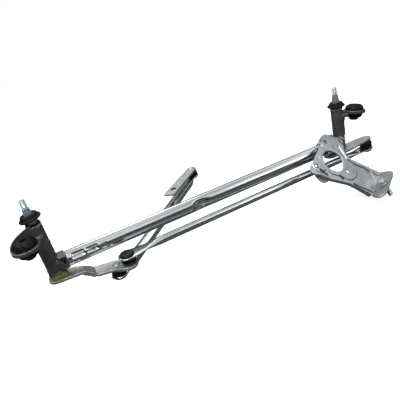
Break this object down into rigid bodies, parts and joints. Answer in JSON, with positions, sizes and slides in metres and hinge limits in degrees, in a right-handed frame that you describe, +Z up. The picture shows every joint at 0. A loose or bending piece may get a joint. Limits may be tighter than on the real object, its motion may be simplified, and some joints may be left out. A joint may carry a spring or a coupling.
{
  "type": "windshield wiper linkage",
  "caption": "Vehicle wiper linkage: tube frame with two spindle pivots, motor bracket, crank levers, long link, drive rod and motor crank.",
  "frame": {"origin": "centre of the whole assembly's bounding box", "axes": "+X along the frame tube from the left pivot to the right pivot, +Z up along the spindles (they lean 2 degrees towards -X), +Y away from the motor bracket's front"},
  "size_m": [0.6274, 0.3316, 0.1746],
  "materials": {
    "steel": "bright zinc plated",
    "zinc_tube": "bright zinc, drawn along its length",
    "bracket_plate": "satin zinc plated pressing",
    "lever_plate": "dull zinc plated plate",
    "casting": "dark as-cast surface",
    "bush_bronze": "sintered",
    "rubber": "matt moulded rubber",
    "black_plastic": "satin moulded plastic",
    "string": "thin twisted tie"
  },
  "bodies": {
    "frame": {"left_pivot_housing": "casting", "left_upper_bush": "bush_bronze", "left_lower_bush": "bush_bronze", "left_grommet": "rubber", "right_pivot_housing": "casting", "right_upper_bush": "bush_bronze", "right_lower_bush": "bush_bronze", "right_grommet": "rubber", "motor_bracket": "bracket_plate", "locating_tab": "lever_plate", "fixing_stud": "steel", "fixing_stud_nut": "steel", "string_tie": "string", "frame_tube": "zinc_tube", "tube_saddle": "bracket_plate"},
    "left_crank": {"left_spindle": "steel", "left_thrust_washer": "steel", "left_retaining_clip": "black_plastic", "left_lower_washer": "steel", "left_rubber_cap": "rubber", "left_crank_lever": "lever_plate", "left_link_ball_stud": "steel", "left_drive_ball_stud": "steel"},
    "right_crank": {"right_spindle": "steel", "right_thrust_washer": "steel", "right_retaining_clip": "black_plastic", "right_lower_washer": "steel", "right_rubber_cap": "rubber", "right_crank_lever": "lever_plate", "right_link_ball_stud": "steel", "right_ball_cup": "black_plastic"},
    "long_link": {"long_link_rod": "zinc_tube", "link_left_socket": "black_plastic", "link_right_cap": "black_plastic"},
    "drive_link": {"drive_rod": "zinc_tube", "drive_left_socket": "black_plastic", "drive_right_socket": "black_plastic"},
    "motor_crank": {"motor_crank_arm": "lever_plate", "crank_ball_stud": "steel"}
  },
  "joints": [
    {"name": "left_pivot", "type": "hinge", "parent": "frame", "child": "left_crank", "pos_m": [-0.27653, -0.04918, 0.00627], "axis": [-0.0349, 0, 0.9994], "range_deg": [0, 75]},
    {"name": "right_pivot", "type": "hinge", "parent": "frame", "child": "right_crank", "pos_m": [0.23747, -0.04918, 0.00627], "axis": [-0.0349, 0, 0.9994], "range_deg": [0, 60]},
    {"name": "long_link_swing", "type": "hinge", "parent": "left_crank", "child": "long_link", "pos_m": [-0.18367, -0.07868, -0.03101], "axis": [-0.0349, 0, 0.9994], "range_deg": [-82, 0]},
    {"name": "drive_link_swing", "type": "hinge", "parent": "left_crank", "child": "drive_link", "pos_m": [-0.19935, -0.06618, -0.05477], "axis": [-0.0349, 0, 0.9994], "range_deg": [-75, 0]},
    {"name": "motor_crank_swing", "type": "hinge", "parent": "drive_link", "child": "motor_crank", "pos_m": [0.03167, 0.15332, -0.04671], "axis": [-0.0159, 0.0174, 0.9997], "range_deg": [-150, 150]}
  ],
  "couplings": [
    {"joint": "right_pivot", "follows": "left_pivot", "ratio": 0.797},
    {"joint": "long_link_swing", "follows": "left_pivot", "ratio": -1.093},
    {"joint": "drive_link_swing", "follows": "left_pivot", "ratio": -1}
  ]
}
